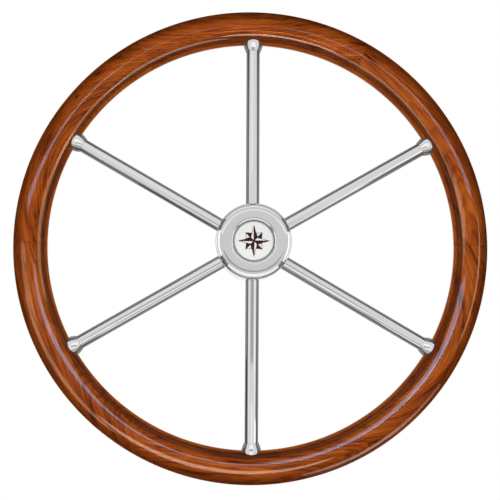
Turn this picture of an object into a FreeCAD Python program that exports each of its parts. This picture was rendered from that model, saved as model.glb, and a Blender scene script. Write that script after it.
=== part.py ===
import FreeCAD, Part
import Sketcher
import math
import os

# Boat steering wheel with a varnished wood rim and polished stainless spokes and hub.
#
# The wheel stands upright, as on its helm. The origin is on the shaft's axis in the rim's
# mid-plane, +Z is up, the steering side faces -Y and the helm shaft comes in from +Y.
# Six felloes, each cut from its own board, are dowelled and glued into a ring. Each spoke is
# a round bar, held by a stud in the hub's side and a stud in the middle of its felloe, and a
# bell ferrule covers the joint at the rim. The turned hub has a keyed bore for the shaft, a
# chamber for the shaft's nut and a cap with a compass rose.

Vector = FreeCAD.Vector
Placement = FreeCAD.Placement
Rotation = FreeCAD.Rotation

# Driving sizes in millimetres, each with the words for what it measures
SIZES = [
    ("wheel_diameter", 450.0, "outside of the rim"),
    ("rim_section", 32.0, "diameter of the round rim"),
    ("spoke_count", 6.0, "spokes, and felloes"),
    ("rim_set_back", 6.0, "rim's mid-plane behind the point where the spokes' axes meet"),
    ("dowel_diameter", 8.0, "dowels that join the felloes"),
    ("dowel_length", 36.0, "half of it in each felloe"),
    ("dowel_spacing", 14.0, "between the two dowels of a joint, front to back"),
    ("dowel_play", 0.05, "glue film round a dowel"),
    ("dowel_end_gap", 1.0, "glue space at each end of a dowel"),
    ("dowel_chamfer", 0.8, "ends of a dowel"),
    ("spoke_diameter", 12.7, "half-inch round bar"),
    ("spoke_end_gap", 0.4, "from a spoke's outer end to the wood"),
    ("spoke_chamfer", 0.3, "ends of a spoke"),
    ("stud_diameter", 8.0, "studs at both ends of a spoke"),
    ("stud_play", 0.05, "thread clearance round a stud"),
    ("stud_end_gap", 1.0, "hole deeper than its stud"),
    ("stud_chamfer", 0.8, "ends of a stud"),
    ("stud_in_spoke", 16.0, "length of a stud inside its spoke"),
    ("stud_in_rim", 22.0, "length of a rim stud inside the wood"),
    ("stud_in_hub", 11.0, "length of a hub stud below its socket"),
    ("ferrule_reach", 7.2, "from the rim's inner edge down the spoke"),
    ("ferrule_barrel", 1.2, "straight part of that reach, next to the rim"),
    ("ferrule_flare", 2.3, "bell's widest radius over its lip's radius"),
    ("ferrule_lip", 0.5, "wall at the small end"),
    ("ferrule_round", 12.0, "blend from the cone to the barrel"),
    ("ferrule_play", 0.05, "between ferrule and spoke"),
    ("hub_diameter", 70.0, "full width of the hub"),
    ("hub_front", 44.0, "hub's face in front of the rim's mid-plane"),
    ("hub_back", 6.0, "back of the full width behind the rim's mid-plane"),
    ("hub_shoulder", 7.5, "large round at the front edge"),
    ("hub_lip", 3.0, "round into the cap's seat"),
    ("hub_heel", 3.0, "round at the back edge"),
    ("boss_diameter", 44.0, "boss behind the hub"),
    ("boss_back", 22.0, "boss's end face behind the rim's mid-plane"),
    ("boss_chamfer", 1.5, "outer edge of the boss"),
    ("boss_root", 2.0, "round where the boss meets the hub"),
    ("socket_depth", 8.0, "spoke's seat in the side of the hub"),
    ("socket_play", 0.05, "round the spoke in its seat"),
    ("bore_diameter", 19.05, "three-quarter-inch helm shaft"),
    ("bore_length", 36.0, "from the boss's end face to the floor of the nut chamber"),
    ("bore_chamfer", 1.0, "mouth of the bore"),
    ("keyway_width", 4.76, "three-sixteenths key"),
    ("keyway_depth", 2.4, "beyond the bore's wall"),
    ("chamber_diameter", 33.0, "room for the shaft's nut and a socket wrench"),
    ("cap_seat_diameter", 37.2, "recess for the cap"),
    ("cap_seat_depth", 11.0, "from the hub's face to the ledge that carries the cap"),
    ("cap_sink", 3.0, "cap's rim below the hub's face"),
    ("cap_play", 0.3, "groove between cap and hub"),
    ("cap_rim", 0.9, "bright ring round the badge"),
    ("cap_floor", 2.0, "under the badge"),
    ("cap_skirt", 1.3, "wall of the cap inside the groove of its seal"),
    ("cap_edge", 0.25, "chamfer of the bright ring"),
    ("badge_thickness", 1.2, "white disc"),
    ("badge_play", 0.1, "between badge and ring"),
    ("badge_edge", 0.2, "chamfer of the badge"),
    ("seal_section", 2.0, "cord of the ring that grips the cap"),
    ("seal_play", 0.02, "ring to the walls, inside and outside"),
    ("seal_side_play", 0.2, "ring to the sides of its groove"),
    ("seal_height", 4.0, "ring's middle above the ledge"),
    ("rose_long_tip", 14.9, "from the middle to a long point"),
    ("rose_long_root", 4.35, "from the middle to the notch between two long points"),
    ("rose_short_tip", 11.0, "from the middle to a short point"),
    ("rose_short_root", 7.0, "same for the star of short points, under the long ones"),
    ("rose_enamel", 0.15, "thickness of the dark fields"),
    ("rose_line", 0.05, "half of the bare line between two fields"),
]

doc = FreeCAD.newDocument("boat_steering_wheel")
sheet = doc.addObject("Spreadsheet::Sheet", "Sizes")
for row, (alias, number, meaning) in enumerate(SIZES, start=1):
    sheet.set(f"A{row}", alias)
    sheet.set(f"B{row}", str(number))
    sheet.set(f"C{row}", meaning)
    sheet.setAlias(f"B{row}", alias)
doc.recompute()


class Size:
    # A number together with the sheet's expression for it, so that one formula gives both
    # the first value of a dimension and the binding that keeps it up to date.

    def __init__(self, value, text):
        self.value = float(value)
        self.text = text

    def __add__(self, other):
        other = as_size(other)
        return Size(self.value + other.value, f"({self.text} + {other.text})")

    def __radd__(self, other):
        return as_size(other) + self

    def __sub__(self, other):
        other = as_size(other)
        return Size(self.value - other.value, f"({self.text} - {other.text})")

    def __rsub__(self, other):
        return as_size(other) - self

    def __mul__(self, other):
        other = as_size(other)
        return Size(self.value * other.value, f"({self.text} * {other.text})")

    def __rmul__(self, other):
        return as_size(other) * self

    def __truediv__(self, other):
        other = as_size(other)
        return Size(self.value / other.value, f"({self.text} / {other.text})")

    def __rtruediv__(self, other):
        return as_size(other) / self


def as_size(number):
    if isinstance(number, Size):
        return number
    return Size(number, str(float(number)))


def cell(alias):
    return Size(sheet.get(alias), f"{sheet.Name}.{alias}")


def root(size):
    return Size(math.sqrt(size.value), f"sqrt({size.text})")


def bind(thing, prop, size):
    thing.setExpression(prop, as_size(size).text)


# Sizes that follow from the sheet
rim_radius = cell("rim_section") / 2
ring_radius = cell("wheel_diameter") / 2 - rim_radius
spoke_radius = cell("spoke_diameter") / 2
stud_radius = cell("stud_diameter") / 2
stud_hole_radius = stud_radius + cell("stud_play")
hub_radius = cell("hub_diameter") / 2
spoke_reach = root(ring_radius * ring_radius + cell("rim_set_back") * cell("rim_set_back"))
wood_start = spoke_reach - rim_radius
spoke_start = hub_radius - cell("socket_depth")
spoke_end = wood_start - cell("spoke_end_gap")
ledge_front = cell("hub_front") - cell("cap_seat_depth")
cap_seat_radius = cell("cap_seat_diameter") / 2
cap_radius = cap_seat_radius - cell("cap_play")
cap_height = cell("cap_seat_depth") - cell("cap_sink")
badge_radius = cap_radius - cell("cap_rim") - cell("badge_play")

spoke_total = int(round(cell("spoke_count").value))
pitch_angle = 360.0 / spoke_total
spoke_lean = math.degrees(math.atan2(cell("rim_set_back").value, ring_radius.value))

# Frames. On the drawing of the wheel's face X is right, Y up and Z towards the steersman.
upright = Placement(Vector(0, 0, 0), Rotation(Vector(1, 0, 0), 90))
spoke_turn = Rotation(Vector(1, 0, 0), -90 - spoke_lean)
spoke_axis = Placement(Vector(0, 0, cell("rim_set_back").value), spoke_turn)


def clockwise(angle):
    return Placement(Vector(0, 0, 0), Rotation(Vector(0, 0, 1), -angle))


def along_z(distance):
    return Placement(Vector(0, 0, as_size(distance).value), Rotation())


def origin_feature(body, role):
    for feature in body.Origin.OriginFeatures:
        if feature.Role == role:
            return feature
    raise ValueError(role)


# Stand for a corner's distance where the corner lies on the sketch's own axis or base line
on_axis = None
on_base = None


def tie(sketch, kind, line, size, own_axis):
    # Holds the start of a line at its distance from one of the sketch's axes, or on it.
    if size is None:
        sketch.addConstraint(Sketcher.Constraint("PointOnObject", line, 1, own_axis))
        return
    index = sketch.addConstraint(Sketcher.Constraint(kind, -1, 1, line, 1, size.value))
    sketch.setExpression(f"Constraints[{index}]", size.text)


def closed_outline(body, name, plane, points):
    # A closed outline of straight lines, each corner held by its two distances.
    sketch = body.newObject("Sketcher::SketchObject", name)
    sketch.AttachmentSupport = [(origin_feature(body, plane), "")]
    sketch.MapMode = "FlatFace"
    corners = [Vector(across.value if across else 0, up.value if up else 0, 0) for across, up in points]
    count = len(corners)
    for line in range(count):
        sketch.addGeometry(Part.LineSegment(corners[line], corners[(line + 1) % count]), False)
    for line in range(count):
        sketch.addConstraint(Sketcher.Constraint("Coincident", line, 2, (line + 1) % count, 1))
    for line, (across, up) in enumerate(points):
        tie(sketch, "DistanceX", line, across, -2)
        tie(sketch, "DistanceY", line, up, -1)
    return sketch


def turned(name, points):
    # A body of revolution about its own Z axis, from a half-section of radii and heights.
    body = doc.addObject("PartDesign::Body", name)
    body.Label = name
    sketch = closed_outline(body, f"{name}_section", "XZ_Plane", points)
    turning = body.newObject("PartDesign::Revolution", f"{name}_turning")
    turning.Profile = sketch
    turning.ReferenceAxis = (sketch, ["V_Axis"])
    turning.Angle = 360
    return body


def circle_names(shape, radius, height):
    # The circular edges of a turned shape at one radius and height.
    rounding_error = 1e-6
    found = []
    for number, edge in enumerate(shape.Edges, start=1):
        curve = edge.Curve
        if curve.TypeId != "Part::GeomCircle":
            continue
        same_radius = abs(curve.Radius - radius.value) < rounding_error
        same_height = abs(curve.Center.z - as_size(height).value) < rounding_error
        if same_radius and same_height:
            found.append(f"Edge{number}")
    if not found:
        raise ValueError(f"no edge of radius {radius.value} at {as_size(height).value}")
    return found


def ease(body, kind, name, radius, height, amount):
    # Rounds or chamfers a turned body's edge, found by its radius and height.
    doc.recompute()
    before = body.Tip
    easing = body.newObject(f"PartDesign::{kind}", name)
    easing.Base = (before, circle_names(before.Shape, radius, height))
    bind(easing, "Radius" if kind == "Fillet" else "Size", amount)


def drilled_round(body, name, radius, depth, placement):
    # A hole at the first spoke, repeated at every spoke about the body's own Z axis.
    hole = body.newObject("PartDesign::SubtractiveCylinder", name)
    bind(hole, "Radius", radius)
    bind(hole, "Height", depth)
    hole.Placement = placement
    doc.recompute()
    pattern = body.newObject("PartDesign::PolarPattern", f"{name}s")
    pattern.Originals = [hole]
    pattern.Axis = (origin_feature(body, "Z_Axis"), [""])
    pattern.Angle = 360
    bind(pattern, "Occurrences", cell("spoke_count"))
    body.Tip = pattern


def chamfered_rod(name, radius, length, chamfer):
    return turned(name, [
        (on_axis, on_base),
        (radius - chamfer, on_base),
        (radius, chamfer),
        (radius, length - chamfer),
        (radius - chamfer, length),
        (on_axis, length),
    ])


def ring_sector(name):
    # One pitch of the rim's solid round ring, its middle on +Y.
    sector = doc.addObject("Part::Torus", name)
    bind(sector, "Radius1", ring_radius)
    bind(sector, "Radius2", rim_radius)
    bind(sector, "Angle3", 360 / cell("spoke_count"))
    return sector


sector_turn = Placement(Vector(0, 0, 0), Rotation(Vector(0, 0, 1), 90 - pitch_angle / 2))


def dowel_place(joint_angle, side, length):
    # A dowel lies across a joint of the ring, in front of or behind its middle.
    offset = side * cell("dowel_spacing").value / 2
    corner = Vector(-length.value / 2, ring_radius.value, offset)
    return clockwise(joint_angle).multiply(Placement(corner, Rotation(Vector(0, 1, 0), 90)))


def felloe(number):
    # A sixth of the rim, with a hole for its spoke's stud and two dowel holes at each end.
    name = f"rim_felloe_{number}"
    sector = ring_sector(f"{name}_ring")
    sector.Placement = sector_turn
    holes = []
    hole = doc.addObject("Part::Cylinder", f"{name}_stud_hole")
    bind(hole, "Radius", stud_hole_radius)
    bind(hole, "Height", cell("spoke_end_gap") + cell("stud_in_rim") + cell("stud_end_gap"))
    hole.Placement = spoke_axis.multiply(along_z(spoke_end))
    holes.append(hole)
    hole_length = cell("dowel_length") + 2 * cell("dowel_end_gap")
    for end in (-1, 1):
        for side in (-1, 1):
            hole = doc.addObject("Part::Cylinder", f"{name}_dowel_hole")
            bind(hole, "Radius", cell("dowel_diameter") / 2 + cell("dowel_play"))
            bind(hole, "Height", hole_length)
            hole.Placement = dowel_place(end * pitch_angle / 2, side, hole_length)
            holes.append(hole)
    bored = doc.addObject("Part::MultiFuse", f"{name}_holes")
    bored.Shapes = holes
    wood = doc.addObject("Part::Cut", name)
    wood.Label = name
    wood.Base = sector
    wood.Tool = bored
    wood.Placement = upright.multiply(clockwise((number - 1) * pitch_angle))
    return wood


def dowel(number, side, side_name):
    # Dowel at the clockwise end of a felloe.
    name = f"felloe_dowel_{number}_{side_name}"
    rod = chamfered_rod(name, cell("dowel_diameter") / 2, cell("dowel_length"), cell("dowel_chamfer"))
    joint_angle = (number - 0.5) * pitch_angle
    rod.Placement = upright.multiply(dowel_place(joint_angle, side, cell("dowel_length")))
    return rod


def spoke_frame(number, distance):
    # Frame on a spoke's axis, a distance out from the point where the axes meet.
    turn = clockwise((number - 1) * pitch_angle)
    return upright.multiply(turn).multiply(spoke_axis).multiply(along_z(distance))


def spoke(number):
    # Round bar, drilled and tapped at both ends.
    name = f"spoke_{number}"
    length = spoke_end - spoke_start
    hole_depth = cell("stud_in_spoke") + cell("stud_end_gap")
    chamfer = cell("spoke_chamfer")
    bar = turned(name, [
        (on_axis, hole_depth),
        (stud_hole_radius, hole_depth),
        (stud_hole_radius, on_base),
        (spoke_radius - chamfer, on_base),
        (spoke_radius, chamfer),
        (spoke_radius, length - chamfer),
        (spoke_radius - chamfer, length),
        (stud_hole_radius, length),
        (stud_hole_radius, length - hole_depth),
        (on_axis, length - hole_depth),
    ])
    bar.Placement = spoke_frame(number, spoke_start)
    return bar


def rim_stud(number):
    length = cell("stud_in_spoke") + cell("spoke_end_gap") + cell("stud_in_rim")
    stud = chamfered_rod(f"rim_stud_{number}", stud_radius, length, cell("stud_chamfer"))
    stud.Placement = spoke_frame(number, spoke_end - cell("stud_in_spoke"))
    return stud


def hub_stud(number):
    length = cell("stud_in_hub") + cell("stud_in_spoke")
    stud = chamfered_rod(f"hub_stud_{number}", stud_radius, length, cell("stud_chamfer"))
    stud.Placement = spoke_frame(number, spoke_start - cell("stud_in_hub"))
    return stud


def ferrule(number):
    # A turned bell, its wide end cut to a saddle that sits on the round of the rim.
    name = f"spoke_ferrule_{number}"
    reach = cell("ferrule_reach")
    bore = spoke_radius + cell("ferrule_play")
    lip = bore + cell("ferrule_lip")
    bell = lip + cell("ferrule_flare")
    barrel_start = reach - cell("ferrule_barrel")
    blank_end = reach + rim_radius
    blank = turned(f"{name}_blank", [
        (bore, on_base),
        (lip, on_base),
        (bell, barrel_start),
        (bell, blank_end),
        (bore, blank_end),
    ])
    ease(blank, "Fillet", f"{name}_round", bell, barrel_start, cell("ferrule_round"))
    own_frame = spoke_axis.multiply(along_z(wood_start - reach))
    ring = ring_sector(f"{name}_saddle")
    ring.Placement = own_frame.inverse().multiply(sector_turn)
    piece = doc.addObject("Part::Cut", name)
    piece.Label = name
    piece.Base = blank
    piece.Tool = ring
    piece.Placement = spoke_frame(number, wood_start - reach)
    return piece


def hub():
    # Turned from the boss's end face at height 0 to the steering side's face.
    bore = cell("bore_diameter") / 2
    boss = cell("boss_diameter") / 2
    chamber = cell("chamber_diameter") / 2
    heel = cell("boss_back") - cell("hub_back")
    face = cell("boss_back") + cell("hub_front")
    ledge = face - cell("cap_seat_depth")
    body = turned("hub", [
        (bore, on_base),
        (boss, on_base),
        (boss, heel),
        (hub_radius, heel),
        (hub_radius, face),
        (cap_seat_radius, face),
        (cap_seat_radius, ledge),
        (chamber, ledge),
        (chamber, cell("bore_length")),
        (bore, cell("bore_length")),
    ])
    ease(body, "Fillet", "shoulder_round", hub_radius, face, cell("hub_shoulder"))
    ease(body, "Fillet", "lip_round", cap_seat_radius, face, cell("hub_lip"))
    ease(body, "Fillet", "heel_round", hub_radius, heel, cell("hub_heel"))
    ease(body, "Fillet", "boss_root_round", boss, heel, cell("boss_root"))
    ease(body, "Chamfer", "boss_edge", boss, 0, cell("boss_chamfer"))
    ease(body, "Chamfer", "bore_mouth", bore, 0, cell("bore_chamfer"))

    # A seat for each spoke in the hub's side, with the tapped hole of its stud below
    first_spoke = along_z(cell("boss_back")).multiply(spoke_axis)
    tapped_depth = cell("stud_in_hub") + cell("stud_end_gap")
    drilled_round(body, "spoke_socket", spoke_radius + cell("socket_play"),
                  cell("socket_depth") + spoke_radius, first_spoke.multiply(along_z(spoke_start)))
    drilled_round(body, "stud_hole", stud_hole_radius, tapped_depth + cell("socket_depth"),
                  first_spoke.multiply(along_z(spoke_start - tapped_depth)))

    # Keyway along the bore, at the top spoke
    half_width = cell("keyway_width") / 2
    slot = closed_outline(body, "keyway_outline", "XY_Plane", [
        (on_axis, on_base),
        (half_width, on_base),
        (half_width, bore + cell("keyway_depth")),
        (on_axis, bore + cell("keyway_depth")),
    ])
    keyway = body.newObject("PartDesign::Pocket", "keyway_half")
    keyway.Profile = slot
    keyway.Reversed = True
    bind(keyway, "Length", cell("bore_length"))
    doc.recompute()
    whole = body.newObject("PartDesign::Mirrored", "keyway")
    whole.Originals = [keyway]
    whole.MirrorPlane = (origin_feature(body, "YZ_Plane"), [""])
    body.Tip = whole
    body.Placement = upright.multiply(along_z(0 - cell("boss_back")))
    return body


def hub_cap():
    # A turned cup that sits on the ledge of its seat, with a groove for its seal ring.
    groove_floor = cap_seat_radius - 2 * cell("seal_play") - cell("seal_section")
    half_groove = cell("seal_section") / 2 + cell("seal_side_play")
    hollow = groove_floor - cell("cap_skirt")
    badge_seat = cap_radius - cell("cap_rim")
    badge_floor = cap_height - cell("badge_thickness")
    hollow_depth = badge_floor - cell("cap_floor")
    edge = cell("cap_edge")
    body = turned("hub_cap", [
        (on_axis, hollow_depth),
        (hollow, hollow_depth),
        (hollow, on_base),
        (cap_radius, on_base),
        (cap_radius, cell("seal_height") - half_groove),
        (groove_floor, cell("seal_height") - half_groove),
        (groove_floor, cell("seal_height") + half_groove),
        (cap_radius, cell("seal_height") + half_groove),
        (cap_radius, cap_height - edge),
        (cap_radius - edge, cap_height),
        (badge_seat + edge, cap_height),
        (badge_seat, cap_height - edge),
        (badge_seat, badge_floor),
        (on_axis, badge_floor),
    ])
    body.Placement = upright.multiply(along_z(ledge_front))
    return body


def cap_seal_ring():
    ring = doc.addObject("Part::Torus", "cap_seal_ring")
    ring.Label = "cap_seal_ring"
    bind(ring, "Radius1", cap_seat_radius - cell("seal_play") - cell("seal_section") / 2)
    bind(ring, "Radius2", cell("seal_section") / 2)
    ring.Placement = upright.multiply(along_z(ledge_front + cell("seal_height")))
    return ring


def cap_badge():
    edge = cell("badge_edge")
    thickness = cell("badge_thickness")
    disc = turned("cap_badge", [
        (on_axis, on_base),
        (badge_radius, on_base),
        (badge_radius, thickness - edge),
        (badge_radius - edge, thickness),
        (on_axis, thickness),
    ])
    disc.Placement = upright.multiply(along_z(ledge_front + cap_height - thickness))
    return disc


def compass_point(radius, angle):
    turn = math.radians(angle)
    return Vector(radius.value * math.sin(turn), radius.value * math.cos(turn), 0)


def flat_field(corners):
    return Part.Face(Part.makePolygon(corners + corners[:1]))


def compass_rose():
    # Eight-pointed rose of four long points over four short ones. Each point is split along
    # its middle, and the half on its clockwise side is a field of dark enamel.
    middle = Vector(0, 0, 0)
    long_points = (0, 90, 180, 270)
    to_short_point = 45
    to_next_long_point = 90
    long_star = []
    for angle in long_points:
        long_star.append(compass_point(cell("rose_long_tip"), angle))
        long_star.append(compass_point(cell("rose_long_root"), angle + to_short_point))
    star = flat_field(long_star)
    fields = []
    for angle in long_points:
        tip = compass_point(cell("rose_long_tip"), angle)
        notch = compass_point(cell("rose_long_root"), angle + to_short_point)
        fields.append(flat_field([middle, tip, notch]))
        tip = compass_point(cell("rose_short_tip"), angle + to_short_point)
        notch = compass_point(cell("rose_short_root"), angle + to_next_long_point)
        fields.extend(flat_field([middle, tip, notch]).cut(star).Faces)
    height = Vector(0, 0, cell("rose_enamel").value)
    rose = doc.addObject("Part::Feature", "compass_rose")
    rose.Label = "compass_rose"
    narrowing = -cell("rose_line").value
    rose.Shape = Part.makeCompound([field.makeOffset2D(narrowing).extrude(height) for field in fields])
    rose.Placement = upright.multiply(along_z(ledge_front + cap_height))
    return rose


nodes = []
for number in range(1, spoke_total + 1):
    nodes.append(felloe(number))
    nodes.append(dowel(number, 1, "front"))
    nodes.append(dowel(number, -1, "back"))
    nodes.append(spoke(number))
    nodes.append(ferrule(number))
    nodes.append(rim_stud(number))
    nodes.append(hub_stud(number))
nodes.append(hub())
nodes.append(hub_cap())
nodes.append(cap_seal_ring())
nodes.append(cap_badge())
nodes.append(compass_rose())

doc.recompute()
for item in doc.Objects:
    if "Invalid" in item.State or "Error" in item.State:
        raise RuntimeError(f"{item.Label} failed: {item.State}")
for node in nodes:
    if node.Shape.isNull() or not node.Shape.isValid():
        raise RuntimeError(f"{node.Label} has no valid shape")

os.makedirs("parts", exist_ok=True)
for node in nodes:
    node.Shape.exportStep(f"parts/{node.Label}.step")
    solids = len(node.Shape.Solids)
    print(f"{node.Label}: {solids} solid(s), {node.Shape.Volume:.1f} cubic mm")
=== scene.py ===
from math import atan2, cos, pi, radians, sin, sqrt, tan
import bpy
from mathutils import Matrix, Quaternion, Vector


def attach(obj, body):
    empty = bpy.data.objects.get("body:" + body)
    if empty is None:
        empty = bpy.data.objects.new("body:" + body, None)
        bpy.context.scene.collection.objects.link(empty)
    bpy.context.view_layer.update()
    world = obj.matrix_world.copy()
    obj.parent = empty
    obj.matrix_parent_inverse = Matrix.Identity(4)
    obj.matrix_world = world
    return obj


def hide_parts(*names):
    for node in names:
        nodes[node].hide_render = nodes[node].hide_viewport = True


# Boat steering wheel: varnished wood rim, polished spokes and hub, compass rose on the cap.
# Lengths in the dictionaries are millimetres unless a note says otherwise. The shaft's axis is
# Y with the steering side at -Y, and pieces that repeat are numbered clockwise from the top.

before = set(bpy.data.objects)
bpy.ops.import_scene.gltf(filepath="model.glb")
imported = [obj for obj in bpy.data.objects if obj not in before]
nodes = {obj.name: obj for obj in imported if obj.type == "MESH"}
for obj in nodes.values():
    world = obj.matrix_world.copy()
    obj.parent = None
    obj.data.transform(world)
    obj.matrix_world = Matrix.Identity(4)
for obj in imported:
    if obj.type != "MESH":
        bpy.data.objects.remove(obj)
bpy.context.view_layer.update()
mm = 0.001
print("frame loaded:", len(nodes), "nodes")

sameSpot = 1e-6             # metres, within which a corner is taken as being in a place
doubled = 1e-7              # metres, within which two corners are merged
smoothAngle = 28            # degrees, edges that turn more than this stay sharp


# helpers for modelling, on bpy.ops

def freeHands():
    # back in object mode with nothing selected, so an operator acts only on what is picked next
    if bpy.context.object and bpy.context.object.mode != "OBJECT":
        bpy.ops.object.mode_set(mode="OBJECT")
    bpy.ops.object.select_all(action="DESELECT")


def pick(piece, mode="OBJECT"):
    freeHands()
    piece.select_set(True)
    bpy.context.view_layer.objects.active = piece
    if mode == "EDIT":
        bpy.ops.object.mode_set(mode="EDIT")
        bpy.ops.mesh.select_mode(type="VERT")


def pickCorners(piece, wanted):
    # selects the corners that are wanted, in edit mode
    pick(piece, "EDIT")
    bpy.ops.mesh.select_all(action="DESELECT")
    bpy.ops.object.mode_set(mode="OBJECT")
    for corner in piece.data.vertices:
        corner.select = wanted(corner)
    bpy.ops.object.mode_set(mode="EDIT")


def pickRing(piece, radius, height):
    # the ring of a turned piece at one radius and height
    def onRing(corner):
        offAxis = sqrt(corner.co.x ** 2 + corner.co.y ** 2)
        return abs(offAxis - radius * mm) < sameSpot and abs(corner.co.z - height * mm) < sameSpot
    pickCorners(piece, onRing)


def pointOut(piece):
    # doubles merged first, then every face pointing outwards
    pick(piece, "EDIT")
    bpy.ops.mesh.select_all(action="SELECT")
    bpy.ops.mesh.remove_doubles(threshold=doubled)
    bpy.ops.mesh.normals_make_consistent(inside=False)
    bpy.ops.object.mode_set(mode="OBJECT")


def turnPiece(name, outline, sides, rounds=(), ends="filled"):
    # Lathe work up the Z axis: a circle is drawn out from ring to ring of the outline.
    # Rounds are (radius, height, size, segments). The ends are filled, or joined to each other.
    freeHands()
    radius, height = outline[0]
    bpy.ops.mesh.primitive_circle_add(vertices=sides, radius=radius * mm, fill_type="NOTHING")
    piece = bpy.context.object
    piece.name = piece.data.name = name
    bpy.ops.object.mode_set(mode="EDIT")
    bpy.ops.mesh.select_all(action="SELECT")
    bpy.ops.transform.translate(value=(0, 0, height * mm))
    for nextRadius, nextHeight in outline[1:]:
        rise = (nextHeight - height) * mm
        bpy.ops.mesh.extrude_region_move(TRANSFORM_OT_translate={"value": (0, 0, rise)})
        growth = nextRadius / radius
        bpy.ops.transform.resize(value=(growth, growth, 1), center_override=(0, 0, nextHeight * mm))
        radius, height = nextRadius, nextHeight
    bpy.ops.mesh.select_all(action="DESELECT")
    bpy.ops.mesh.select_non_manifold()
    if ends == "joined":
        bpy.ops.mesh.bridge_edge_loops()
    else:
        bpy.ops.mesh.fill_holes(sides=0)
    for ringRadius, ringHeight, size, segments in rounds:
        pickRing(piece, ringRadius, ringHeight)
        bpy.ops.mesh.bevel(offset=size * mm, offset_type="OFFSET", segments=segments, profile=0.5,
                           affect="EDGES", clamp_overlap=False)
    pointOut(piece)
    return piece


def settle(piece):
    # puts the piece's place into its mesh, so that its object is at the origin, unturned
    pick(piece)
    bpy.ops.object.transform_apply(location=True, rotation=True, scale=True)
    return piece


def smooth(piece):
    pick(piece)
    bpy.ops.object.shade_smooth_by_angle(angle=radians(smoothAngle))


def carve(piece, cutter):
    pick(piece)
    tool = piece.modifiers.new("cut", "BOOLEAN")
    tool.operation = "DIFFERENCE"
    tool.solver = "EXACT"
    tool.object = cutter
    bpy.ops.object.modifier_apply(modifier=tool.name)


def scrap(*pieces):
    for piece in pieces:
        bpy.data.objects.remove(piece, do_unlink=True)


def copyTurned(piece, name, turn):
    # a copy with its own mesh, turned about the origin
    twin = piece.copy()
    twin.data = piece.data.copy()
    twin.name = twin.data.name = name
    bpy.context.scene.collection.objects.link(twin)
    twin.rotation_euler = turn
    return settle(twin)


def copyAround(piece, name, angle):
    # a copy turned clockwise about the shaft's axis
    return copyTurned(piece, name, (0, radians(angle), 0))


def faceSteersman(piece):
    # from the lathe's Z axis to the shaft's axis, heights growing towards the steersman
    piece.rotation_euler = (radians(90), 0, 0)
    return settle(piece)


# helpers for finishes

class Wire:
    # one output of a shader node, so that shader maths reads as plain sums
    def __init__(self, finish, socket):
        self.finish = finish
        self.socket = socket

    def __add__(self, other):
        return self.finish.maths("ADD", self, other)

    def __radd__(self, other):
        return self.finish.maths("ADD", other, self)

    def __sub__(self, other):
        return self.finish.maths("SUBTRACT", self, other)

    def __mul__(self, other):
        return self.finish.maths("MULTIPLY", self, other)

    def __rmul__(self, other):
        return self.finish.maths("MULTIPLY", other, self)

    def __truediv__(self, other):
        return self.finish.maths("DIVIDE", self, other)


class Finish:
    # a material, or the world, and the nodes that are put into it
    def __init__(self, name, owner=None):
        self.owner = owner or bpy.data.materials.new(name)
        self.owner.use_nodes = True
        self.tree = self.owner.node_tree
        self.tree.nodes.clear()

    def node(self, kind, settings=None, sockets=None, output=0):
        made = self.tree.nodes.new("ShaderNode" + kind)
        for name, value in (settings or {}).items():
            if name == "stops":
                ramp = made.color_ramp
                while len(ramp.elements) < len(value):
                    ramp.elements.new(1.0)
                for element, (place, colour) in zip(ramp.elements, value):
                    element.position = place
                    element.color = colour
            else:
                setattr(made, name, value)
        for name, value in (sockets or {}).items():
            if isinstance(value, Wire):
                self.tree.links.new(value.socket, made.inputs[name])
            else:
                made.inputs[name].default_value = value
        return Wire(self, made.outputs[output]) if len(made.outputs) else None

    def maths(self, operation, first, second=0.0):
        return self.node("Math", {"operation": operation}, {0: first, 1: second})

    def fade(self, value, start, end):
        # 0 at the start, 1 at the end and a smooth step between
        return self.node("MapRange", {"interpolation_type": "SMOOTHSTEP"},
                         {"Value": value, "From Min": start, "From Max": end})

    def colours(self, share, first, second):
        return self.node("Mix", {"data_type": "RGBA", "blend_type": "MIX"},
                         {0: share, 6: first, 7: second}, output=2)

    def vectors(self, operation, first, second=(0, 0, 0)):
        output = 1 if operation == "LENGTH" else 0
        return self.node("VectorMath", {"operation": operation}, {0: first, 1: second}, output)

    def distance(self, where, axes):
        # how far a place is from the origin, with each axis stretched by its number
        return self.vectors("LENGTH", self.vectors("MULTIPLY", where, axes))

    def place(self, turn=(0, 0, 0), shift=(0, 0, 0)):
        # object coordinates, turned about the origin and then shifted
        here = self.node("TexCoord", output=3)
        return self.node("Mapping", sockets={"Vector": here, "Rotation": turn, "Location": shift})

    def noise(self, where, scale, detail=4.0, roughness=0.5):
        # the scale is one number, or one for each axis
        if isinstance(scale, tuple):
            where = self.vectors("MULTIPLY", where, scale)
            scale = 1.0
        return self.node("TexNoise", {"noise_dimensions": "3D"},
                         {"Vector": where, "Scale": scale, "Detail": detail,
                          "Roughness": roughness})

    def bump(self, height, strength, depth):
        return self.node(
            "Bump", sockets={"Strength": strength, "Distance": depth, "Height": height})

    def surface(self, sockets):
        shader = self.node("BsdfPrincipled", sockets=sockets)
        self.node("OutputMaterial", sockets={"Surface": shader})
        return self.owner


def tint(red, green, blue):
    # a colour as a picture shows it, 0 to 255, made linear
    def linear(value):
        value = value / 255
        return value / 12.92 if value <= 0.04045 else ((value + 0.055) / 1.055) ** 2.4
    return (linear(red), linear(green), linear(blue), 1.0)


def clouded(name, look, **more):
    # two close shades in soft clouds, which change the roughness a little too
    finish = Finish(name)
    cloud = finish.noise(finish.place(), **look["clouds"])
    shade = finish.colours(cloud, look["shade"], look["lighter"])
    rough = look["roughness"] + cloud * look["haze"]
    return finish.surface({"Base Color": shade, "Roughness": rough, **more})


def dress(piece, finish, nodeName):
    piece.data.materials.clear()
    piece.data.materials.append(finish)
    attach(piece, "root")
    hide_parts(nodeName)


# camera, from the outlines measured in the photo

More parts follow.
